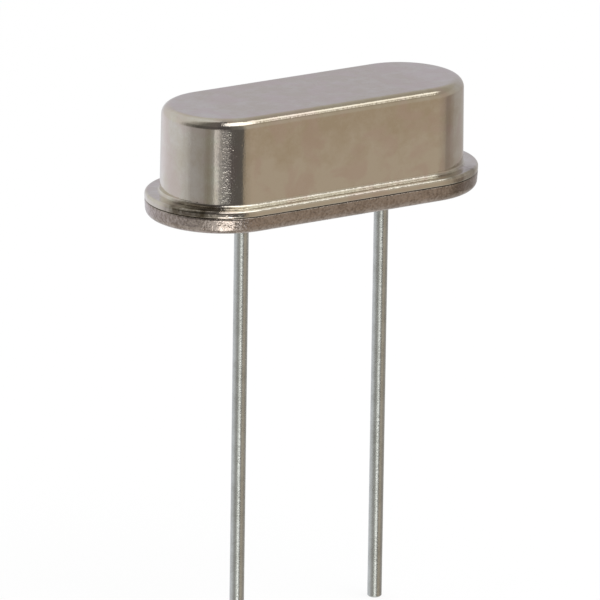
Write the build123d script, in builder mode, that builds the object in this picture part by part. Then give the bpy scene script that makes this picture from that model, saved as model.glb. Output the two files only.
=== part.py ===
"""Low-profile two-lead quartz crystal in a resistance-welded metal can.

Millimetres, +Z up through the can. The origin is the centre of the base plate's underside, which is
the face that sits on a circuit board. The long side runs along X, and the leads point down.
"""
from build123d import *
import os

# ---- can ---------------------------------------------------------------------------------------
can_length = 9.90          # outside of the wall, where it meets the flange
can_width = 3.70
can_top = 3.32             # height of the closed end over the board
can_sheet = 0.22           # thickness of the drawn sheet
can_draft = 0.57           # degrees that the wall leans in towards the closed end
can_top_round = 0.30       # outer radius round the closed end
can_root_round = 0.08      # outer radius where the wall turns out into the flange

# ---- flanges of can and base, welded face to face ----------------------------------------------
flange_reach_ends = 0.45   # flange beyond the wall, at the two round ends
flange_reach_sides = 0.40  # flange beyond the wall, along the two straight sides
can_flange_top_round = 0.10
can_flange_seam_round = 0.04
base_flange_seam_round = 0.06
base_flange_lower_round = 0.20

# ---- base plate --------------------------------------------------------------------------------
base_flange_thickness = 0.50
boss_height = 0.35         # raised middle of the base plate, inside the can
boss_edge_round = 0.10
boss_clearance = 0.10      # gap between the raised middle and the can's wall

# ---- leads and their glass seals ---------------------------------------------------------------
lead_pitch = 4.88
lead_diameter = 0.43       # over its coat of tin
lead_coat = 0.008          # thickness of that coat, which stops at the board face
lead_length = 12.70        # below the board face
lead_end_chamfer = 0.04
lead_head_overhang = 0.165 # flattened head beyond the wire
lead_head_thickness = 0.15
lead_head_lift = 0.10      # bare wire between the glass and the head
lead_head_round = 0.04
seal_wall = 0.443          # glass between the wire and the edge of its hole
seal_rim_depth = 0.02      # how far the glass stops short of the plate's faces at its edges
seal_hollow = 0.06         # further depth of the hollow in the middle of the glass

# ---- quartz blank and its films ----------------------------------------------------------------
blank_gap = 0.73           # from the can's inner wall to the blank, at the ends and the sides
blank_thickness = 0.166
blank_lift = 1.00          # from the raised middle of the base up to the blank
blank_edge_bevel = 0.03
film_thickness = 0.03
film_pad_length = 4.60
film_pad_margin = 0.25     # bare quartz at each side of the pad
film_tab_width = 1.00

# ---- spring clips and adhesive -----------------------------------------------------------------
clip_thickness = 0.10
clip_width = 1.20
clip_foot_reach = 0.42     # foot to each side of the lead's centre line
clip_shelf_length = 0.60   # under the end of the blank
clip_end_gap = 0.05        # between the blank's end and the upright tab
clip_tab_rise = 0.22       # upright tab above the blank's upper face
clip_bend_radius = 0.10    # at the middle of the strip's thickness
adhesive_length = 0.50
adhesive_width = 0.80
adhesive_height = 0.16
adhesive_corner = 0.20     # plan corners of the drop, away from the clip's tab
adhesive_round = 0.07      # round its top edge

# ---- sizes that follow from the above ----------------------------------------------------------
seam_height = base_flange_thickness
flange_length = can_length + 2 * flange_reach_ends
flange_width = can_width + 2 * flange_reach_sides
inner_length = can_length - 2 * can_sheet
inner_width = can_width - 2 * can_sheet
boss_top = base_flange_thickness + boss_height
lead_x = lead_pitch / 2
lead_radius = lead_diameter / 2
wire_radius = lead_radius - lead_coat
seal_radius = wire_radius + seal_wall
glass_middle = (wire_radius + seal_radius) / 2
low_rim = seal_rim_depth
high_rim = boss_top - seal_rim_depth
head_bottom = boss_top + lead_head_lift
head_top = head_bottom + lead_head_thickness
blank_length = inner_length - 2 * blank_gap
blank_width = inner_width - 2 * blank_gap
blank_bottom = boss_top + blank_lift
blank_top = blank_bottom + blank_thickness
blank_end = blank_length / 2
tab_face = blank_end + clip_end_gap

os.makedirs("parts", exist_ok=True)

# ---- can: drawn in one piece, open at the bottom -------------------------------------------------
with BuildPart() as can:
    with BuildSketch(Plane.XY.offset(seam_height)):
        SlotOverall(flange_length, flange_width)
    extrude(amount=can_sheet)
    fillet(can.edges().group_by(Axis.Z)[0], radius=can_flange_seam_round)
    fillet(can.edges().group_by(Axis.Z)[-1], radius=can_flange_top_round)

    # The wall leans in slightly, as a drawn cup does.
    with BuildSketch(Plane.XY.offset(seam_height + can_sheet)):
        SlotOverall(can_length, can_width)
    extrude(amount=can_top - can_sheet - seam_height, taper=can_draft)
    flange_top = can.faces().filter_by(Axis.Z).sort_by(Axis.Z)[1]
    fillet(flange_top.inner_wires()[0].edges(), radius=can_root_round)
    fillet(can.edges().group_by(Axis.Z)[-1], radius=can_top_round)

    # The hollow keeps the sheet's thickness, and both bends keep it round their corners.
    with BuildSketch(Plane.XY.offset(seam_height)):
        SlotOverall(inner_length, inner_width)
    extrude(amount=can_top - can_sheet - seam_height, taper=can_draft, mode=Mode.SUBTRACT)
    ceiling = can.faces().filter_by(Axis.Z).sort_by(Axis.Z)[-2]
    fillet(ceiling.outer_wire().edges(), radius=can_top_round - can_sheet)
    underside = can.faces().filter_by(Axis.Z).sort_by(Axis.Z)[0]
    fillet(underside.inner_wires()[0].edges(), radius=can_root_round + can_sheet)
can.part.label = "can"
export_step(can.part, "parts/can.step")

# ---- base plate: flange under the can's flange, and a raised middle inside the can ---------------
with BuildPart() as base_plate:
    with BuildSketch():
        SlotOverall(flange_length, flange_width)
    extrude(amount=base_flange_thickness)
    fillet(base_plate.edges().group_by(Axis.Z)[0], radius=base_flange_lower_round)
    fillet(base_plate.edges().group_by(Axis.Z)[-1], radius=base_flange_seam_round)

    with BuildSketch(Plane.XY.offset(base_flange_thickness)):
        SlotOverall(inner_length - 2 * boss_clearance, inner_width - 2 * boss_clearance)
    extrude(amount=boss_height)
    fillet(base_plate.edges().group_by(Axis.Z)[-1], radius=boss_edge_round)

    # One hole for each lead, filled by its glass seal.
    with GridLocations(lead_pitch, 0, 2, 1):
        Hole(radius=seal_radius)
base_plate.part.label = "base_plate"
export_step(base_plate.part, "parts/base_plate.step")

# ---- leads, glass seals, clips and adhesive: one of each at the two ends -------------------------
for side, way in (("left", -1), ("right", 1)):

    # Lead: round wire, tinned below the board face and cut square at the bottom. Above the glass
    # its top is flattened into a head.
    with BuildPart() as lead:
        with BuildSketch(Plane((way * lead_x, 0, -lead_length))):
            Circle(lead_radius)
        extrude(amount=lead_length)
        with BuildSketch(Plane((way * lead_x, 0, 0))):
            Circle(wire_radius)
        extrude(amount=head_bottom)
        with BuildSketch(Plane((way * lead_x, 0, head_bottom))):
            Circle(wire_radius + lead_head_overhang)
        extrude(amount=lead_head_thickness)
        fillet(lead.edges().group_by(Axis.Z)[-1], radius=lead_head_round)
        chamfer(lead.edges().group_by(Axis.Z)[0], length=lead_end_chamfer)
    lead.part.label = f"lead_{side}"
    export_step(lead.part, f"parts/lead_{side}.step")

    # Glass seal: a ring between wire and plate, its two faces hollowed as melted glass is.
    with BuildPart() as glass_seal:
        with BuildSketch(Plane((way * lead_x, 0, 0), x_dir=(1, 0, 0), z_dir=(0, -1, 0))):
            with BuildLine():
                ThreePointArc((wire_radius, low_rim), (glass_middle, low_rim + seal_hollow),
                              (seal_radius, low_rim))
                Line((seal_radius, low_rim), (seal_radius, high_rim))
                ThreePointArc((seal_radius, high_rim), (glass_middle, high_rim - seal_hollow),
                              (wire_radius, high_rim))
                Line((wire_radius, high_rim), (wire_radius, low_rim))
            make_face()
        revolve(axis=Axis((way * lead_x, 0, 0), (0, 0, 1)))
    glass_seal.part.label = f"glass_seal_{side}"
    export_step(glass_seal.part, f"parts/glass_seal_{side}.step")

    # Clip: a strip bent from the lead's head up to a shelf under the blank, then up past its end.
    foot_height = head_top + clip_thickness / 2
    shelf_height = blank_bottom - film_thickness - clip_thickness / 2
    strip = [
        (way * (lead_x - clip_foot_reach), foot_height),
        (way * (lead_x + clip_foot_reach), foot_height),
        (way * (blank_end - clip_shelf_length), shelf_height),
        (way * (tab_face + clip_thickness / 2), shelf_height),
        (way * (tab_face + clip_thickness / 2), blank_top + clip_tab_rise),
    ]
    with BuildPart() as clip:
        with BuildSketch(Plane.XZ):
            with BuildLine():
                FilletPolyline(strip, radius=clip_bend_radius)
            trace(line_width=clip_thickness)
        extrude(amount=clip_width / 2, both=True)
    clip.part.label = f"clip_{side}"
    export_step(clip.part, f"parts/clip_{side}.step")

    # Adhesive: a drop on the blank's end, up against the clip's tab. The film's tab is under the
    # right one.
    drop_bottom = blank_top + (film_thickness if side == "right" else 0)
    drop_middle = way * (tab_face - adhesive_length / 2)
    with BuildPart() as adhesive:
        with BuildSketch(Plane((drop_middle, 0, drop_bottom))):
            Rectangle(adhesive_length, adhesive_width)
        extrude(amount=adhesive_height)
        inner_end = adhesive.faces().filter_by(Axis.X).sort_by(Axis.X)[0 if side == "right" else -1]
        fillet(inner_end.edges().filter_by(Axis.Z), radius=adhesive_corner)
        fillet(adhesive.edges().group_by(Axis.Z)[-1], radius=adhesive_round)
    adhesive.part.label = f"adhesive_{side}"
    export_step(adhesive.part, f"parts/adhesive_{side}.step")

# ---- quartz blank: a thin strip with its long edges bevelled -------------------------------------
with BuildPart() as quartz_blank:
    with BuildSketch(Plane.XY.offset(blank_bottom)):
        Rectangle(blank_length, blank_width)
    extrude(amount=blank_thickness)
    chamfer(quartz_blank.edges().filter_by(Axis.X), length=blank_edge_bevel)
quartz_blank.part.label = "quartz_blank"
export_step(quartz_blank.part, "parts/quartz_blank.step")

# ---- electrodes: a pad on each face, with a tab to the clip at one end ---------------------------
for face, way, film_bottom in (("top", 1, blank_top), ("bottom", -1, blank_bottom - film_thickness)):
    with BuildPart() as electrode:
        with BuildSketch(Plane.XY.offset(film_bottom)):
            Rectangle(film_pad_length, blank_width - 2 * film_pad_margin)
            with Locations((way * blank_end / 2, 0)):
                Rectangle(blank_end, film_tab_width)
        extrude(amount=film_thickness)
    electrode.part.label = f"electrode_{face}"
    export_step(electrode.part, f"parts/electrode_{face}.step")
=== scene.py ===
# %% [markdown]
# # A low-profile quartz crystal in a welded metal can
#
# This lesson dresses a small electronic part: an oval drawn can, welded by its flange to a base
# plate, with two straight tinned wires that leave the base through beads of glass. The can is about
# a centimetre long, and it is bare metal, so nearly all that the eye sees on it is a reflection. Two
# things therefore decide how it looks: how cleanly its bends are rounded, and what stands around it
# to be reflected.
#
# The measured model comes in first as a fixed frame. Every new piece is made where the frame says.

import math

import bmesh
import bpy
from mathutils import Matrix, Vector


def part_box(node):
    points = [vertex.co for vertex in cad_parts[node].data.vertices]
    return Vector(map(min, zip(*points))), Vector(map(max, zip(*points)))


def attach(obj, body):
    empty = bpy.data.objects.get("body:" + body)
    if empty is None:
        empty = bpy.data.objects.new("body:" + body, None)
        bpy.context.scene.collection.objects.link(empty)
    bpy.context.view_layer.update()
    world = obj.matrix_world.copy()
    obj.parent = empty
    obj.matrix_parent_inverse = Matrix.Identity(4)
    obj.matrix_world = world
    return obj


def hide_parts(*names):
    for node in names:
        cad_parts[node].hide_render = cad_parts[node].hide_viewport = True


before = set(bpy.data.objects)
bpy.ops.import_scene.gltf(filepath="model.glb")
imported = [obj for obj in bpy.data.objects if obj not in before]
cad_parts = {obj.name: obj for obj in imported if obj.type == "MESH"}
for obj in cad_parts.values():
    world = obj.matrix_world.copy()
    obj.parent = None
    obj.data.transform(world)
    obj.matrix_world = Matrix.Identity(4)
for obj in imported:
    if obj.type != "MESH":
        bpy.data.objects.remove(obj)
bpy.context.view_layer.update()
print("measured nodes:", sorted(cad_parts))

# %% [markdown]
# ## Working in millimetres
#
# Blender's edit tools have small built-in distances, such as the one under which two points count
# as one. They are meant for things the size of a chair, and they would swallow a bend of a tenth of
# a millimetre. So each piece is modelled a thousand times too large, with one unit for one
# millimetre, and is shrunk to metres when it is finished. The helper below reads a node's box in
# those working units.

# %% Sizes, in millimetres
MM = 0.001


def box_mm(node):
    """Lowest and highest corner of a measured node, in millimetres."""
    low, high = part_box(node)
    return low / MM, high / MM


can_low, can_high = box_mm("can")
base_low, base_high = box_mm("base_plate")
lead_low, lead_high = box_mm("lead_right")
seal_low, seal_high = box_mm("glass_seal_right")

seam = can_low.z                   # where the can's flange sits on the base's flange
closed_end = can_high.z
flange_radius = can_high.y
board_face = base_low.z
boss_top = base_high.z

sheet = 0.22                       # thickness of the can's drawn sheet
reach_ends = 0.45                  # flange beyond the can's wall, at the round ends
reach_sides = 0.40                 # the same along the straight sides
draft = math.radians(0.57)         # lean of the can's wall
wall_radius = flange_radius - reach_sides
wall_middle = can_high.x - reach_ends - wall_radius
flange_top = seam + sheet
wall_length = 2 * (wall_middle + wall_radius)
print(f"can wall {wall_length:.2f} x {2 * wall_radius:.2f} mm, top at {closed_end:.2f} mm")

# %% [markdown]
# ## The camera
#
# The part is seen from the front left and a little above, from a quarter of a metre away with a
# very long lens, as small parts are shot for a catalogue. A long lens keeps parallel edges nearly
# parallel. The camera's place and aim are built from three directions: to the right, up and
# forward. Turning the camera by under a degree round its own line of sight gives the slight lean
# that a hand-placed part has.

# %% Place the camera
turn = math.radians(33.0)
height = math.radians(16.2)
roll = math.radians(0.87)
distance = 275.0
sensor = 36.0
frame_width = 17.62                # millimetres that the picture takes in, level with the part
aim_left = 0.35                    # the aim is this far left of the part's origin
aim_down = 2.968

right = Vector((math.cos(turn), -math.sin(turn), 0))
forward = Vector((
    math.sin(turn) * math.cos(height),
    math.cos(turn) * math.cos(height),
    -math.sin(height),
))
up = right.cross(forward)
rolled_right = math.cos(roll) * right + math.sin(roll) * up
rolled_up = math.cos(roll) * up - math.sin(roll) * right

place = -forward * distance
aim = -rolled_right * aim_left - rolled_up * aim_down
sight = (aim - place).normalized()
rolled_right = sight.cross(rolled_up).normalized()
rolled_up = rolled_right.cross(sight)

camera_data = bpy.data.cameras.new("camera")
camera_data.sensor_width = sensor
camera_data.lens = sensor * distance / frame_width
camera_data.clip_start = 0.01
camera = bpy.data.objects.new("camera", camera_data)
bpy.context.scene.collection.objects.link(camera)
axes = Matrix((rolled_right, rolled_up, -sight)).transposed().to_4x4()
camera.matrix_world = Matrix.Translation(place * MM) @ axes
bpy.context.scene.camera = camera
print(f"camera {distance:.0f} mm away, lens {camera_data.lens:.0f} mm")

# %% [markdown]
# ## Drawing a section
#
# A drawn can, a pressed plate, a wire and a bead of glass are all made the same way here: half of
# the section is drawn as a thin line, its corners are rounded, and the line is spun round an axis.
# That is close to how a toolmaker thinks of such parts, and it keeps every bend an exact arc of its
# real radius. The other way, starting from a box and bevelling it, gives bends that pinch where
# straight and round stretches meet, and a shiny metal shows every pinch.
#
# The line starts as a plane merged to one point, which is then extruded from corner to corner.

# %% Helpers: a section drawn point by point
SAME_PLACE = 1e-4                  # two points this close, in millimetres, are taken for one
SUPPORT = 0.02                     # how far outside a bend its extra point lies
BEND_STEPS = 8                     # faces along each bend


def deselect_all():
    """Leave edit mode and select nothing, so that the next operator acts on one piece alone."""
    if bpy.context.mode != "OBJECT":
        bpy.ops.object.mode_set(mode="OBJECT")
    bpy.ops.object.select_all(action="DESELECT")


def with_supports(corners):
    """Adds a point just outside each bend, so that smooth shading stays flat on the flat faces."""
    points = []
    for i, (r, z, radius) in enumerate(corners):
        here = Vector((r, z))
        if radius and i > 0:
            back = Vector(corners[i - 1][:2]) - here
            if back.length > radius + corners[i - 1][2] + 2 * SUPPORT:
                points.append(here + back.normalized() * (radius + SUPPORT))
        points.append(here)
        if radius and i + 1 < len(corners):
            ahead = Vector(corners[i + 1][:2]) - here
            if ahead.length > radius + corners[i + 1][2] + 2 * SUPPORT:
                points.append(here + ahead.normalized() * (radius + SUPPORT))
    return points


def draw_section(name, corners, middle, closed=False):
    """A wire through (radius, height, bend radius) corners, standing at the front of the axis."""
    deselect_all()
    bpy.ops.mesh.primitive_plane_add(size=1, location=(0, 0, 0))
    piece = bpy.context.object
    piece.name = piece.data.name = name
    bpy.ops.object.mode_set(mode="EDIT")
    bpy.ops.mesh.select_mode(type="VERT")
    bpy.ops.mesh.select_all(action="SELECT")
    bpy.ops.mesh.merge(type="CENTER")
    places = [Vector((middle, -p.x, p.y)) for p in with_supports(corners)]
    bpy.ops.transform.translate(value=places[0])
    for start, end in zip(places, places[1:]):
        bpy.ops.mesh.extrude_region_move(TRANSFORM_OT_translate={"value": end - start})
    if closed:
        ends = (places[0], places[-1])
        select_where(piece, lambda p: min((p - end).length for end in ends) < SAME_PLACE)
        bpy.ops.mesh.edge_face_add()
    return piece


def select_where(piece, wanted):
    """Selects the vertices whose place passes a test, and nothing else."""
    bpy.ops.mesh.select_mode(type="VERT")
    bpy.ops.mesh.select_all(action="DESELECT")
    cage = bmesh.from_edit_mesh(piece.data)
    for vertex in cage.verts:
        vertex.select = wanted(vertex.co)
    cage.select_flush_mode()
    bmesh.update_edit_mesh(piece.data)


def round_corners(piece, corners, middle):
    """Rounds each corner of the section to its own radius."""
    for r, z, radius in corners:
        if radius:
            corner = Vector((middle, -r, z))
            select_where(piece, lambda p: (p - corner).length < SAME_PLACE)
            bpy.ops.mesh.bevel(offset=radius, offset_type="OFFSET", segments=BEND_STEPS,
                               profile=0.5, affect="VERTICES", clamp_overlap=False)


# %% [markdown]
# ## From section to solid
#
# The plan of the can is a straight stretch between two half rounds. The section is spun through
# half a turn for one end, its open edges are pulled to the middle of the part, and a mirror makes
# the other half. A short first pull leaves a row of narrow faces beside the round end, so that the
# long flat side is shaded as a flat. A wire or a bead is spun through a whole turn instead.

# %% Helpers: spin, pull and mirror
MERGE_WITHIN = 1e-5                # points closer than this, in millimetres, are joined
HALF_TURN_STEPS = 72               # faces round each end of the oval
WHOLE_TURN_STEPS = 64              # faces round a wire or a bead
FIRST_PULL = 0.04                  # width of the narrow faces beside the round end
SHARPEST_SMOOTH = math.radians(35) # edges that turn by more than this stay sharp


def spin_section(piece, middle, angle, steps):
    """Spins all that is there round an upright axis, and joins the points that meet."""
    bpy.ops.mesh.select_all(action="SELECT")
    bpy.ops.mesh.spin(steps=steps, angle=angle, center=(middle, 0, 0), axis=(0, 0, 1))
    bpy.ops.mesh.select_all(action="SELECT")
    bpy.ops.mesh.remove_doubles(threshold=MERGE_WITHIN)


def select_open_edges(piece):
    """Selects the edges that only one face uses."""
    bpy.ops.mesh.select_mode(type="EDGE")
    bpy.ops.mesh.select_all(action="DESELECT")
    cage = bmesh.from_edit_mesh(piece.data)
    for edge in cage.edges:
        edge.select_set(len(edge.link_faces) == 1)
    bmesh.update_edit_mesh(piece.data)


def pull_to_middle(piece):
    """Extrudes the open edges a little way, then on to the plane halfway along the part."""
    select_open_edges(piece)
    bpy.ops.mesh.extrude_region_move(TRANSFORM_OT_translate={"value": (-FIRST_PULL, 0, 0)})
    bpy.ops.mesh.extrude_region_move(TRANSFORM_OT_translate={"value": (-1, 0, 0)})
    bpy.ops.transform.resize(value=(0, 1, 1), center_override=(0, 0, 0))


def turn_faces_outward():
    """Joins the points that meet, then turns every face outward."""
    bpy.ops.object.mode_set(mode="EDIT")
    bpy.ops.mesh.select_all(action="SELECT")
    bpy.ops.mesh.remove_doubles(threshold=MERGE_WITHIN)
    bpy.ops.mesh.normals_make_consistent(inside=False)
    bpy.ops.object.mode_set(mode="OBJECT")


def finish_piece(piece, node):
    """Turns faces outward, shades them, shrinks it to metres, hangs it on the root, hides the old
    node.
    """
    turn_faces_outward()
    bpy.ops.object.shade_smooth_by_angle(angle=SHARPEST_SMOOTH)
    piece.data.transform(Matrix.Scale(MM, 4))
    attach(piece, "root")
    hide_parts(node)
    low = Vector(map(min, zip(*(v.co for v in piece.data.vertices)))) / MM
    high = Vector(map(max, zip(*(v.co for v in piece.data.vertices)))) / MM
    print(f"{piece.name}: {len(piece.data.polygons)} faces, "
          f"{tuple(round(x, 3) for x in low)} to {tuple(round(x, 3) for x in high)}")


def oval_from_section(name, corners, middle, shift, shifted_beyond):
    """Half round end, straight sides and mirror. Points beyond a radius are shifted along X."""
    piece = draw_section(name, corners, middle)
    round_corners(piece, corners, middle)
    spin_section(piece, middle, -math.pi, HALF_TURN_STEPS)
    axis = Vector((middle, 0))
    select_where(piece, lambda p: (p.xy - axis).length > shifted_beyond)
    bpy.ops.transform.translate(value=(shift, 0, 0))
    pull_to_middle(piece)
    bpy.ops.object.mode_set(mode="OBJECT")
    mirror = piece.modifiers.new("mirror", "MIRROR")
    mirror.merge_threshold = SAME_PLACE
    bpy.ops.object.modifier_apply(modifier=mirror.name)
    turn_faces_outward()
    return piece


# %% [markdown]
# ## The can
#
# The real can is one strip of nickel silver, pressed into a deep cup, with its rim turned outward
# for welding. The section follows the sheet all the way round: over the closed end, down the
# outside, out along the flange, back under it and up the inside. The wall leans in by half a degree
# so that the cup came off its punch. At the round ends the flange reaches slightly further than at
# the sides, so its points are moved out by that difference after the spin.

# %% Make the can
top_round = 0.30                   # bends of the outside, from the closed end down to the seam
root_round = 0.08
flange_round = 0.10
seam_round = 0.04
mouth_round = 0.30                 # bends of the inside, from the seam up
ceiling_round = 0.08
flange_rim = 0.15                  # the outer ring of the flange, which holds both its bends

wall_rise = closed_end - flange_top
top_radius = wall_radius - wall_rise * math.tan(draft)
inner_radius = wall_radius - sheet
inner_top_radius = inner_radius - wall_rise * math.tan(draft)
can_section = [
    (0, closed_end, 0),
    (top_radius, closed_end, top_round),
    (wall_radius, flange_top, root_round),
    (flange_radius, flange_top, flange_round),
    (flange_radius, seam, seam_round),
    (inner_radius, seam, mouth_round),
    (inner_top_radius, closed_end - sheet, ceiling_round),
    (0, closed_end - sheet, 0),
]
can = oval_from_section("can_shell", can_section, wall_middle, reach_ends - reach_sides,
                        flange_radius - flange_rim)
finish_piece(can, "can")

# %% [markdown]
# ## The base plate
#
# The base is a pressed plate: a flange that matches the can's, with its edge leaning in slightly
# and its lower corner rounded by the press, and a raised middle that centres the can. Two round
# holes take the glass beads. They are cut with a Boolean modifier and two plain cylinders, which go
# once the cut is made.

# %% Make the base plate and cut its holes
boss_gap = 0.10
boss_radius = inner_radius - boss_gap
edge_lean = 0.035                  # how far the flange's edge leans in, from seam to board face
pressed_round = 0.20
plate_seam_round = 0.06
boss_round = 0.10
clear_of_boss = boss_radius + 0.10 # beyond this radius there is only flange
base_section = [
    (0, board_face, 0),
    (flange_radius - edge_lean, board_face, pressed_round),
    (flange_radius, seam, plate_seam_round),
    (boss_radius, seam, 0),
    (boss_radius, boss_top, boss_round),
    (0, boss_top, 0),
]
base = oval_from_section("base_header", base_section, wall_middle, reach_ends - reach_sides,
                         clear_of_boss)

seal_radius = (seal_high.x - seal_low.x) / 2
lead_middle = (seal_high.x + seal_low.x) / 2
punch_sides = 96
punch_length = 4.0                 # long enough to pass right through the plate
for way in (-1, 1):
    deselect_all()
    bpy.ops.mesh.primitive_cylinder_add(vertices=punch_sides, radius=seal_radius,
                                        depth=punch_length,
                                        location=(way * lead_middle, 0, board_face))
    punch = bpy.context.object
    deselect_all()
    bpy.context.view_layer.objects.active = base
    base.select_set(True)
    hole = base.modifiers.new("hole", "BOOLEAN")
    hole.object = punch
    hole.solver = "EXACT"
    bpy.ops.object.modifier_apply(modifier=hole.name)
    bpy.data.objects.remove(punch)
finish_piece(base, "base_plate")

# %% [markdown]
# ## The leads
#
# Each lead is a plain wire. Below the board face it carries a coat of tin, and inside the can its
# end is flattened into a head for the spring clip. The wire is one section spun through a whole
# turn. It is made once, at the right, and copied to the left with a mesh of its own.

# %% Make the leads
lead_radius = 0.215                # over the tin
wire_radius = 0.207                # the bare wire, inside the glass
head_radius = (lead_high.x - lead_low.x) / 2
head_thickness = 0.15
head_round = 0.04
cut_edge = 0.04                    # bevel at the cut end of the wire
lead_section = [
    (0, lead_low.z, 0),
    (lead_radius - cut_edge, lead_low.z, 0),
    (lead_radius, lead_low.z + cut_edge, 0),
    (lead_radius, board_face, 0),
    (wire_radius, board_face, 0),
    (wire_radius, lead_high.z - head_thickness, 0),
    (head_radius, lead_high.z - head_thickness, 0),
    (head_radius, lead_high.z, head_round),
    (0, lead_high.z, 0),
]


def round_from_section(name, corners, closed=False):
    """A section spun through a whole turn, round the right lead's middle."""
    piece = draw_section(name, corners, lead_middle, closed)
    round_corners(piece, corners, lead_middle)
    spin_section(piece, lead_middle, 2 * math.pi, WHOLE_TURN_STEPS)
    bpy.ops.object.mode_set(mode="OBJECT")
    return piece


def copy_to_left(piece, name):
    """A copy with its own mesh, moved along to the left lead."""
    copy = piece.copy()
    copy.data = piece.data.copy()
    copy.name = copy.data.name = name
    bpy.context.scene.collection.objects.link(copy)
    copy.data.transform(Matrix.Translation((-2 * lead_middle, 0, 0)))
    return copy


def finish_pair(piece, name, node):
    """Finishes the right piece and its copy on the left."""
    left = copy_to_left(piece, name + "_left")
    for half, side in ((piece, "right"), (left, "left")):
        deselect_all()
        bpy.context.view_layer.objects.active = half
        half.select_set(True)
        finish_piece(half, f"{node}_{side}")
    return left, piece


leads = finish_pair(round_from_section("wire_right", lead_section), "wire", "lead")

# %% [markdown]
# ## The glass beads
#
# Each lead is held by a ring of dark sealing glass. When it melted it wetted both the wire and the
# edge of its hole, so both faces are slightly hollow. Each hollow is drawn as points along a shallow
# arc, because its ends must meet the wire and the hole exactly, which a bevelled corner would not.

# %% Make the beads
hollow = 0.06
glass_middle = (wire_radius + seal_radius) / 2
hollow_steps = 8


def hollow_face(height_at_rim, depth, outward):
    """Points along a shallow arc between wire and hole, as section corners with no bend."""
    half = (seal_radius - wire_radius) / 2
    arc_radius = (half ** 2 + depth ** 2) / (2 * abs(depth))
    points = []
    for i in range(hollow_steps + 1):
        across = -half + 2 * half * i / hollow_steps
        sag = math.sqrt(arc_radius ** 2 - across ** 2) - (arc_radius - abs(depth))
        height_here = height_at_rim + math.copysign(sag, depth)
        points.append((glass_middle + outward * across, height_here, 0))
    return points


bead_section = hollow_face(seal_low.z, hollow, 1) + hollow_face(seal_high.z, -hollow, -1)
beads = finish_pair(round_from_section("bead_right", bead_section, closed=True), "bead",
                    "glass_seal")

# %% [markdown]
# ## Writing materials as sums
#
# A material is a tree of nodes. Written out one link at a time it is hard to read, so one small
# class lets a signal be used in ordinary sums: each sum adds the Math node that it stands for. Any
# other node comes from one method, which takes its type, its settings and what goes in.

# %% A small language for node trees
class Signal:
    """One output socket of a node tree."""

    def __init__(self, tree, socket):
        self.tree = tree
        self.socket = socket

    def maths(self, operation, first, second):
        """Adds the Math node of one operation."""
        return self.tree.node("ShaderNodeMath", {"operation": operation}, {0: first, 1: second})

    def __add__(self, other):
        return self.maths("ADD", self, other)

    __radd__ = __add__

    def __sub__(self, other):
        return self.maths("SUBTRACT", self, other)

    def __rsub__(self, other):
        return self.maths("SUBTRACT", other, self)

    def __mul__(self, other):
        return self.maths("MULTIPLY", self, other)

    __rmul__ = __mul__

    def __truediv__(self, other):
        return self.maths("DIVIDE", self, other)


class Tree:
    """A node tree that starts empty."""

    def __init__(self, owner):
        owner.use_nodes = True
        self.nodes = owner.node_tree.nodes
        self.links = owner.node_tree.links
        self.nodes.clear()

    def node(self, kind, settings=None, inputs=None, out=0):
        """Adds one node from its type, its settings, and the values or signals that go in.

        A setting named stops fills a colour ramp.
        """
        made = self.nodes.new(kind)
        for name, value in (settings or {}).items():
            if name == "stops":
                fill_ramp(made.color_ramp, value)
            else:
                setattr(made, name, value)
        for name, value in (inputs or {}).items():
            if isinstance(value, Signal):
                self.links.new(value.socket, made.inputs[name])
            else:
                made.inputs[name].default_value = value
        return Signal(self, made.outputs[out]) if made.outputs else made

    def mix(self, factor, first, second):
        """Goes from one colour to another as the factor goes from 0 to 1."""
        return self.node("ShaderNodeMix", {"data_type": "RGBA"},
                         {0: factor, 6: first, 7: second}, out=2)

    def step(self, value, low, high):
        """Goes smoothly from 0 below one value to 1 above another."""
        return self.node("ShaderNodeMapRange", {"interpolation_type": "SMOOTHSTEP"},
                         {0: value, 1: low, 2: high, 3: 0.0, 4: 1.0})

    def clamped(self, value):
        """Keeps a signal between 0 and 1."""
        return self.node("ShaderNodeClamp", None, {0: value})

    def split(self, vector):
        """The X, Y and Z of a vector, as three signals."""
        parts = self.node("ShaderNodeSeparateXYZ", None, {0: vector}).socket.node
        return [Signal(self, part) for part in parts.outputs]


def fill_ramp(ramp, stops):
    """Sets a colour ramp's stops from (place, colour) pairs."""
    while len(ramp.elements) > 1:
        ramp.elements.remove(ramp.elements[-1])
    for i, (where, colour) in enumerate(stops):
        stop = ramp.elements[0] if i == 0 else ramp.elements.new(where)
        stop.position = where
        stop.color = (*colour, 1.0)


# %% [markdown]
# ## Places and patterns, in millimetres
#
# The finished pieces are in metres, but grain and stains are easier to think of in millimetres. So
# each material first turns the place on the piece, its Object coordinates, into millimetres. A
# pattern that reads this place stays put when the part moves.

# %% Helpers: place, noise, stretching and distance
def place_in_mm(tree):
    """The place on the piece, in millimetres."""
    return tree.node("ShaderNodeVectorMath", {"operation": "SCALE"},
                     {0: tree.node("ShaderNodeTexCoord", out="Object"), "Scale": 1 / MM})


def noise(tree, place, per_mm, detail, roughness=0.6, distortion=0.0):
    """Soft noise, with about so many light and dark patches in a millimetre."""
    return tree.node("ShaderNodeTexNoise", None, {
        "Vector": place, "Scale": per_mm, "Detail": detail, "Roughness": roughness,
        "Distortion": distortion})


def stretched(tree, place, factors):
    """A place with each of its three parts multiplied by a factor."""
    return tree.node("ShaderNodeVectorMath", {"operation": "MULTIPLY"}, {0: place, 1: factors})


def distance_in_plan(tree, place, centre):
    """How far a place is from an upright line through an (x, y) centre."""
    offset = tree.node("ShaderNodeVectorMath", {"operation": "SUBTRACT"},
                       {0: place, 1: (*centre, 0)})
    return tree.node("ShaderNodeVectorMath", {"operation": "LENGTH"},
                     {0: stretched(tree, offset, (1, 1, 0))}, out="Value")
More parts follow.
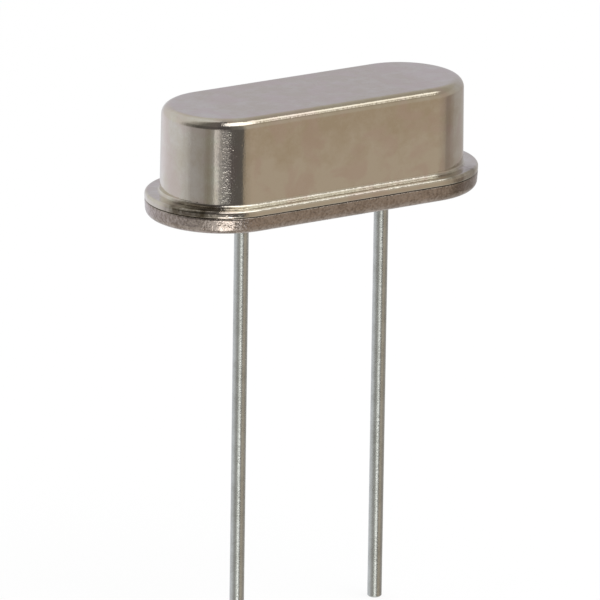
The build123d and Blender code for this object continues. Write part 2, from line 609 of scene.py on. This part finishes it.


# %% [markdown]
# ## Bare metal
#
# All the metals here are built alike, so one class makes them. Metallic is 1, and the colour is
# what the metal gives back when looked at straight on. Three things keep it from looking like a
# perfect mirror: a fine grain and scattered pits from the press, which are relief; soft clouds where
# the finish is a little duller, which are roughness; and a stain, which is colour. The long sides may
# also be made browner and darker towards the top.

# %% Helper: a metal with grain, pits, clouds and stains
CLOUDS_PER_MM = 1.8
CLOUD_CONTRAST = 2.8
PITS_PER_MM = 7.0
PIT_EDGE = (0.08, 0.22)            # a pit's floor and brim, as shares of the distance between pits
USUAL_STAIN = 0.35                 # how far an average place is from clean to stained
LONG_SIDE_ENDS = (wall_middle - 0.1, wall_middle + 0.9)


class Metal:
    """A metal on the bench: it starts plain, may take marks, and is then finished."""

    def __init__(self, name, clean, stain, grain_mm, grain_height_mm, speck=0.3,
                 pit_height_mm=0.0, browner_between=None):
        self.material = bpy.data.materials.new(name)
        self.tree = tree = Tree(self.material)
        self.place = place_in_mm(tree)
        along, _, self.height = tree.split(self.place)
        self.clouds = noise(tree, self.place, CLOUDS_PER_MM, detail=6.0, roughness=0.65)
        self.grain = noise(tree, self.place, 1 / grain_mm, detail=2.0)
        cells = tree.node("ShaderNodeTexVoronoi", None,
                          {"Vector": self.place, "Scale": PITS_PER_MM})
        pits = 1 - tree.step(cells, *PIT_EDGE)
        stained = ((self.clouds - 0.5) * CLOUD_CONTRAST + (self.grain - 0.5) * speck
                   + pits * (speck / 4) + USUAL_STAIN)
        if browner_between:
            from_middle = along.maths("ABSOLUTE", along, 0.0)
            long_side = 1 - tree.step(from_middle, *LONG_SIDE_ENDS)
            stained = stained + (tree.step(self.height, *browner_between) - 0.5) * long_side
        self.colour = tree.mix(tree.clamped(stained), (*clean, 1), (*stain, 1))
        self.relief = self.grain * grain_height_mm - pits * pit_height_mm

    def mark(self, amount, colour):
        """Lays another colour over the metal, by an amount from 0 to 1."""
        self.colour = self.tree.mix(amount, self.colour, (*colour, 1))

    def finish(self, roughness, spread=0.04):
        """Joins colour, roughness and relief to the shader, and gives back the material."""
        tree = self.tree
        shader = tree.node("ShaderNodeBsdfPrincipled", None, {
            "Base Color": self.colour,
            "Metallic": 1.0,
            "Roughness": roughness + (self.clouds - 0.5) * spread + (self.grain - 0.5) * spread,
            "Normal": tree.node("ShaderNodeBump", None, {"Distance": MM, "Height": self.relief}),
        })
        tree.node("ShaderNodeOutputMaterial", None, {"Surface": shader})
        return self.material


# %% [markdown]
# ## Marks of making and wear
#
# The die that draws the can leaves faint upright lines on it. A dark, slightly wavy line runs between
# the two flanges: partly the weld's tint, partly painted shade in the groove where they meet. The
# weld also makes the flanges a little lumpy and scorches them brown in places. In use a can that has
# rubbed against others has a strip of fine scuffs, and that strip's darker colour is also a painted
# reflection. Each mark is a small function that adds its colour and its relief to a metal before it
# is finished.

# %% Helpers: one function for each kind of mark
BLUSH_COLOUR = (0.64, 0.55, 0.50)
SEAM_TINT_AND_SHADE_COLOUR = (0.20, 0.18, 0.155)
SCORCH_COLOUR = (0.16, 0.135, 0.10)
SCUFF_AND_REFLECTION_COLOUR = (0.40, 0.38, 0.35)


def blush(metal, amount):
    """Broad patches where the metal is rosier."""
    broad = noise(metal.tree, metal.place, 1.1, detail=3.0, roughness=0.5, distortion=0.6)
    metal.mark(metal.tree.step(broad, 0.46, 0.64) * amount, BLUSH_COLOUR)


def draw_lines(metal, height_mm):
    """Faint lines along the can's height, which are noise drawn out upright."""
    drawn_out = stretched(metal.tree, metal.place, (1.0, 1.0, 0.06))
    metal.relief = metal.relief + noise(metal.tree, drawn_out, 5.5, detail=3.0) * height_mm


def seam_tint_and_shade(metal):
    """A dark line where the flanges meet, made wavy by the clouds: weld tint and painted groove
    shade.
    """
    wavy = metal.height - seam + (metal.clouds - 0.5) * 0.05
    from_seam = wavy.maths("ABSOLUTE", wavy, 0.0)
    # Painted shade: the groove between the two flanges is darkened in the colour, along with the
    # weld's tint.
    metal.mark(1 - metal.tree.step(from_seam, 0.008, 0.03), SEAM_TINT_AND_SHADE_COLOUR)


def weld_lumps(metal, height_mm, below, scorches):
    """Lumps below a height, and scorches there, each with its (x, y) centre, reach and amount."""
    tree = metal.tree
    lumps = noise(tree, metal.place, 3.2, detail=3.0)
    low_down = 1 - tree.step(metal.height, below, below + 0.08)
    metal.relief = metal.relief + lumps * low_down * height_mm
    for centre, reach, amount in scorches:
        away = distance_in_plan(tree, metal.place, centre)
        near = 1 - tree.step(away, reach * 0.45, reach)
        metal.mark(tree.clamped(near * low_down * (lumps * 2.4 - 0.35) * amount), SCORCH_COLOUR)


def scuffs_and_painted_reflection(metal, centre, height_mm):
    """An upright strip of fine scuffs round an (x, y) centre; its darker colour is a painted
    reflection.
    """
    tree = metal.tree
    scuffs = noise(tree, metal.place, 12.0, detail=2.0, roughness=0.7)
    in_strip = 1 - tree.step(distance_in_plan(tree, metal.place, centre), 0.12, 0.27)
    metal.relief = metal.relief + scuffs * in_strip * height_mm
    # Painted reflection: the strip's darker colour stands in for a dark reflection where the round
    # end faces the camera.
    metal.mark(in_strip * (scuffs * 2.0 - 0.4), SCUFF_AND_REFLECTION_COLOUR)


# %% [markdown]
# ## The can's metal
#
# The can is nickel silver, a warm white metal. It was polished bright, so its roughness is low, and
# it has a brownish stain; along the sides it also turns browner and darker towards its closed end.
# One strip of scuffs runs down its left front corner, its darker colour a painted reflection, and the
# weld has scorched its flange at both front corners.

# %% Nickel silver
corner_bearing = math.radians(31.5)
scuffed_reflection_corner = (-wall_middle - wall_radius * math.sin(corner_bearing),
                  -wall_radius * math.cos(corner_bearing))
left_scorch = ((-wall_middle - 1.65, -1.05), 1.15, 1.0)
right_scorch = ((wall_middle + 0.8, -1.7), 1.1, 0.5)

can_metal = Metal("nickel_silver", (0.69, 0.665, 0.585), (0.60, 0.55, 0.445), grain_mm=0.05,
                  grain_height_mm=0.0011, pit_height_mm=0.0008, browner_between=(0.9, 3.0))
blush(can_metal, 0.55)
seam_tint_and_shade(can_metal)
draw_lines(can_metal, 0.0028)
weld_lumps(can_metal, 0.012, flange_top + 0.02, [left_scorch, right_scorch])
# Fine scuffs, whose darker colour is also a painted reflection on the round end facing the camera.
scuffs_and_painted_reflection(can_metal, scuffed_reflection_corner, 0.0042)
nickel_silver = can_metal.finish(0.07)
print("nickel silver has", len(nickel_silver.node_tree.nodes), "nodes")

# %% [markdown]
# ## The other metals
#
# The base plate is nickel-plated steel, darker and duller where it was pressed, and speckled all
# over. The wires are tinned, cooler and softer in their shine. The spring clips and the silver film
# are sealed inside, where nobody sees them, yet they are finished too, because the can may be taken
# off in another picture.

# %% Plated steel, tin, spring strip and silver
base_metal = Metal("plated_steel", (0.455, 0.40, 0.36), (0.28, 0.235, 0.20), grain_mm=0.08,
                   grain_height_mm=0.009, speck=3.6, pit_height_mm=0.004)
seam_tint_and_shade(base_metal)
weld_lumps(base_metal, 0.016, boss_top, [right_scorch])
plated_steel = base_metal.finish(0.17, spread=0.12)

tinned_wire = Metal("tinned_wire", (0.60, 0.63, 0.60), (0.47, 0.49, 0.455), grain_mm=0.09,
                    grain_height_mm=0.0028, speck=1.3).finish(0.27)
spring_strip = Metal("spring_strip", (0.64, 0.61, 0.56), (0.58, 0.55, 0.50), grain_mm=0.04,
                     grain_height_mm=0.0006).finish(0.22)
silver_film = Metal("silver_film", (0.92, 0.90, 0.87), (0.84, 0.81, 0.76), grain_mm=0.02,
                    grain_height_mm=0.0003).finish(0.35)
print("made", plated_steel.name, tinned_wire.name, spring_strip.name, "and", silver_film.name)

# %% [markdown]
# ## Glass, quartz and adhesive
#
# The sealing glass is nearly opaque: dark blue-green, with a smooth fire-polished face and a few
# tiny bubbles, which are small dips in the bump. The quartz is clear but finely lapped. The adhesive
# is full of silver flakes, so it is a matte grey with bright specks.

# %% Materials that aren't plain metal
def speckled(name, colour, speck_colour, speck_mm, roughness, settings):
    """A smooth body with small specks of another colour, which lie a little lower."""
    material = bpy.data.materials.new(name)
    tree = Tree(material)
    place = place_in_mm(tree)
    cells = tree.node("ShaderNodeTexVoronoi", None, {"Vector": place, "Scale": 1 / speck_mm})
    specks = 1 - tree.step(cells, 0.12, 0.25)
    clouds = noise(tree, place, 2.5, detail=3.0, roughness=0.5)
    normal = tree.node("ShaderNodeBump", None,
                       {"Strength": 1.0, "Distance": 0.002 * MM, "Height": clouds - specks * 0.3})
    shader = tree.node("ShaderNodeBsdfPrincipled", None, {
        "Base Color": tree.mix(specks, (*colour, 1), (*speck_colour, 1)),
        "Roughness": roughness + (clouds - 0.5) * 0.1,
        "Normal": normal,
        **settings,
    })
    tree.node("ShaderNodeOutputMaterial", None, {"Surface": shader})
    return material


sealing_glass = speckled("sealing_glass", (0.018, 0.045, 0.050), (0.06, 0.10, 0.10), 0.12, 0.10,
                         {})
lapped_quartz = speckled("lapped_quartz", (0.93, 0.95, 0.96), (1.0, 1.0, 1.0), 0.08, 0.30,
                         {"Transmission Weight": 0.9, "IOR": 1.54})
silver_adhesive = speckled("silver_adhesive", (0.42, 0.41, 0.40), (0.75, 0.74, 0.72), 0.05, 0.55,
                           {})
print("made", sealing_glass.name, lapped_quartz.name, "and", silver_adhesive.name)

# %% [markdown]
# ## Giving each piece its finish
#
# The new pieces take their material directly. The measured pieces that stay are given theirs in
# their own material slots, because their meshes must not change.

# %% Assign the materials
kept_finishes = {
    "clip_left": spring_strip, "clip_right": spring_strip,
    "quartz_blank": lapped_quartz,
    "electrode_top": silver_film, "electrode_bottom": silver_film,
    "adhesive_left": silver_adhesive, "adhesive_right": silver_adhesive,
}
for node, material in kept_finishes.items():
    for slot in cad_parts[node].material_slots:
        slot.material = material

new_finishes = (((can,), nickel_silver), ((base,), plated_steel), (leads, tinned_wire),
                (beads, sealing_glass))
for pieces, material in new_finishes:
    for piece in pieces:
        piece.data.materials.clear()
        piece.data.materials.append(material)
new_count = sum(len(pieces) for pieces, _ in new_finishes)
print("finished", len(kept_finishes), "measured nodes and", new_count, "new pieces")

# %% [markdown]
# ## The studio that the metal reflects
#
# A photographer lights bare metal by choosing what it reflects. Screens and lamps could be built as
# objects round the part, but it is so small that only their direction would count. So the world here
# is a small studio told by direction: the compass turn (0 behind the part, 90 to its right, 180 in
# front) and the rise above the horizon, both in degrees.

# %% Directions in the studio
world = bpy.data.worlds.new("studio")
bpy.context.scene.world = world
studio = Tree(world)

along_x, along_y, along_z = studio.split(studio.node("ShaderNodeTexCoord", out="Generated"))
whole_turn = 2 * math.pi
in_degrees = 360 / whole_turn
compass = studio.node("ShaderNodeMath", {"operation": "WRAP"},
                      {0: along_x.maths("ARCTAN2", along_x, along_y), 1: whole_turn, 2: 0.0})
compass = compass * in_degrees
rise = along_z.maths("ARCSINE", along_z, 0.0) * in_degrees
print("the studio is told by compass and rise, in degrees")

# %% [markdown]
# ## Four belts of colour
#
# The surroundings are four belts, one above another, and each runs once round the part. Upright
# walls, seen from a little above, reflect the low belt: pale behind and at the left, a warm table at
# the right front, and in front a dark gap, with a thin bright slit beyond the camera. The flat top
# reflects the middle belt. The rounds of the edges run through all four.

# %% Helper: one belt
def belt(stops):
    """A belt of the studio, from (compass degrees, colour) pairs."""
    return studio.node("ShaderNodeValToRGB", {"stops": [(turn / 360, c) for turn, c in stops]},
                       {0: compass / 360})


# %% The low belt and the deep belt
low_belt = belt([
    (0, (0.86, 0.855, 0.93)), (33, (0.66, 0.66, 0.68)), (52, (0.50, 0.47, 0.46)),
    (95, (0.43, 0.39, 0.37)), (112, (0.34, 0.28, 0.25)), (119, (0.31, 0.26, 0.23)),
    (127, (0.42, 0.36, 0.30)), (140, (0.50, 0.42, 0.34)), (158, (0.50, 0.41, 0.33)),
    (172, (0.41, 0.34, 0.27)), (176, (0.13, 0.12, 0.115)), (194, (0.12, 0.11, 0.11)),
    (200, (0.20, 0.19, 0.19)), (215, (0.42, 0.41, 0.40)), (221, (0.60, 0.58, 0.56)),
    (224, (0.95, 0.93, 0.92)), (226.5, (0.75, 0.75, 0.74)), (230, (0.38, 0.38, 0.36)),
    (240, (0.28, 0.26, 0.225)), (250, (0.36, 0.34, 0.335)), (274, (0.43, 0.41, 0.42)),
    (283, (0.58, 0.57, 0.59)), (300, (0.71, 0.705, 0.74)), (325, (0.745, 0.735, 0.79)),
    (359, (0.86, 0.855, 0.93)),
])
deep_belt = belt([
    (0, (0.80, 0.80, 0.82)), (60, (0.66, 0.64, 0.62)), (110, (0.62, 0.58, 0.54)),
    (150, (0.50, 0.44, 0.38)), (195, (0.40, 0.37, 0.35)), (232, (0.50, 0.48, 0.46)),
    (250, (0.62, 0.60, 0.57)), (300, (0.72, 0.70, 0.68)), (359, (0.80, 0.80, 0.82)),
])
print("low belt, from -22 to -6 degrees, over the deep belt, up to -30")

# %% The middle belt and the high belt
middle_belt = belt([
    (0, (0.76, 0.76, 0.78)), (20, (0.62, 0.60, 0.64)), (33, (0.57, 0.555, 0.625)),
    (80, (0.48, 0.46, 0.45)), (125, (0.50, 0.44, 0.38)), (147, (0.55, 0.49, 0.42)),
    (170, (0.52, 0.46, 0.40)), (178, (0.20, 0.19, 0.18)), (215, (0.12, 0.11, 0.11)),
    (262, (0.10, 0.095, 0.09)), (284, (0.28, 0.27, 0.25)), (302, (0.74, 0.73, 0.72)),
    (359, (0.76, 0.76, 0.78)),
])
high_belt = belt([
    (0, (0.72, 0.71, 0.70)), (60, (0.46, 0.43, 0.39)), (100, (0.44, 0.405, 0.36)),
    (170, (0.44, 0.38, 0.31)), (185, (0.16, 0.15, 0.15)), (220, (0.16, 0.15, 0.15)),
    (255, (0.16, 0.15, 0.14)), (280, (0.42, 0.40, 0.38)), (300, (0.70, 0.69, 0.68)),
    (359, (0.72, 0.72, 0.73)),
])
print("middle belt, from 6 to 22 degrees, under the high belt, from 34 up")

# %% Lay the belts one above another
surroundings = deep_belt
for next_belt, begins, is_full in ((low_belt, -30, -22), (middle_belt, -6, 6), (high_belt, 22, 34)):
    surroundings = studio.mix(studio.step(rise, begins, is_full), surroundings, next_belt)
print("laid four belts one above another")

# %% [markdown]
# ## Bright cards
#
# White cards give a metal its bright lines, and their soft edges keep the lines from looking cut
# out. Two cards hang overhead, from the right of the part round to the camera, and draw the line
# along the can's upper edge. Two more lie low in front of the part, a broad one and a narrow, much
# brighter one on it. They light the lower rounds of the flanges.

# %% Hang the cards
def card(turn_from, turn_to, rise_from, rise_to, edge, strength):
    """Lays a bright card with soft edges over the surroundings, between the angles given."""
    inside = (studio.step(compass, turn_from - edge, turn_from + edge)
              * (1 - studio.step(compass, turn_to - edge, turn_to + edge))
              * studio.step(rise, rise_from - edge, rise_from + edge)
              * (1 - studio.step(rise, rise_to - edge, rise_to + edge)))
    return studio.mix(inside, surroundings, (strength, strength * 0.98, strength * 0.96, 1))


cards = (
    (101, 135, 49, 66, 4, 1.6),
    (135, 212, 40, 74, 5, 2.2),
    (178, 236, -62, -21, 4, 0.95),
    (193, 214, -62, -20, 4, 3.4),
)
for angles_and_light in cards:
    surroundings = card(*angles_and_light)
print("hung", len(cards), "cards")

# %% [markdown]
# ## Who sees the studio
#
# Only rays that a surface reflects or lets through see the studio. The camera itself sees plain
# white, and matte surfaces get plain white light.

# %% Show the studio to reflections alone
glossy = studio.node("ShaderNodeLightPath", out="Is Glossy Ray")
transmitted = studio.node("ShaderNodeLightPath", out="Is Transmission Ray")
seen_in_metal = glossy.maths("MAXIMUM", glossy, transmitted)
in_metal = studio.node("ShaderNodeBackground", None, {"Color": surroundings, "Strength": 1.0})
plain = studio.node("ShaderNodeBackground", None, {"Color": (1, 1, 1, 1), "Strength": 1.0})
sky = studio.node("ShaderNodeMixShader", None, {0: seen_in_metal, 1: plain, 2: in_metal})
studio.node("ShaderNodeOutputWorld", None, {"Surface": sky})
print("the world has", len(studio.nodes), "nodes")

# %% [markdown]
# ## The floor
#
# The part stands on its wires over a plain white floor. The floor is bright by itself for the
# camera, and part of it is an ordinary white surface, so that a soft shadow still falls on it.
# Metal sees past the floor into the studio, whose lower belts already hold the floor's light. From
# underneath the floor is clear, so that the part can be looked at from there.

# %% Lay the floor
floor_size = 1.2                   # metres
own_light = 0.85                   # share of the floor that is bright by itself

deselect_all()
bpy.ops.mesh.primitive_plane_add(size=floor_size, location=(0, 0, lead_low.z * MM))
floor = bpy.context.object
floor.name = "floor"
bpy.ops.object.transform_apply(location=True, rotation=False, scale=False)
floor_material = bpy.data.materials.new("white_floor")
ground = Tree(floor_material)
floor_glossy = ground.node("ShaderNodeLightPath", out="Is Glossy Ray")
underneath = ground.node("ShaderNodeNewGeometry", out="Backfacing")
paper = ground.node("ShaderNodeBsdfDiffuse", None, {"Color": (0.9, 0.9, 0.9, 1)})
bright = ground.node("ShaderNodeEmission", None, {"Color": (1, 1, 1, 1), "Strength": 1.0})
lit_floor = ground.node("ShaderNodeMixShader", None, {0: own_light, 1: paper, 2: bright})
clear = ground.node("ShaderNodeBsdfTransparent")
see_through = floor_glossy.maths("MAXIMUM", floor_glossy, underneath)
ground_mix = ground.node("ShaderNodeMixShader", None, {0: see_through, 1: lit_floor, 2: clear})
ground.node("ShaderNodeOutputMaterial", None, {"Surface": ground_mix})
floor.data.materials.append(floor_material)
print(f"floor at {lead_low.z:.2f} mm, under the ends of the wires")

# %% [markdown]
# ## One soft lamp
#
# A wide lamp overhead gives matte surfaces a direction and the floor its shadow. It is kept out of
# reflections, because the studio already holds the cards that the metal shows.

# %% Hang the lamp
lamp_data = bpy.data.lights.new("lamp", "AREA")
lamp_data.size = 0.12
lamp_data.energy = 0.08
lamp = bpy.data.objects.new("lamp", lamp_data)
lamp.location = (0.06, -0.08, 0.16)
lamp.rotation_euler = (-Vector(lamp.location)).to_track_quat("-Z", "Y").to_euler()
lamp.visible_glossy = False
bpy.context.scene.collection.objects.link(lamp)
bpy.context.scene.view_settings.view_transform = "Standard"
print(f"lamp {Vector(lamp.location).length:.2f} m away, {lamp_data.size:.2f} m wide")
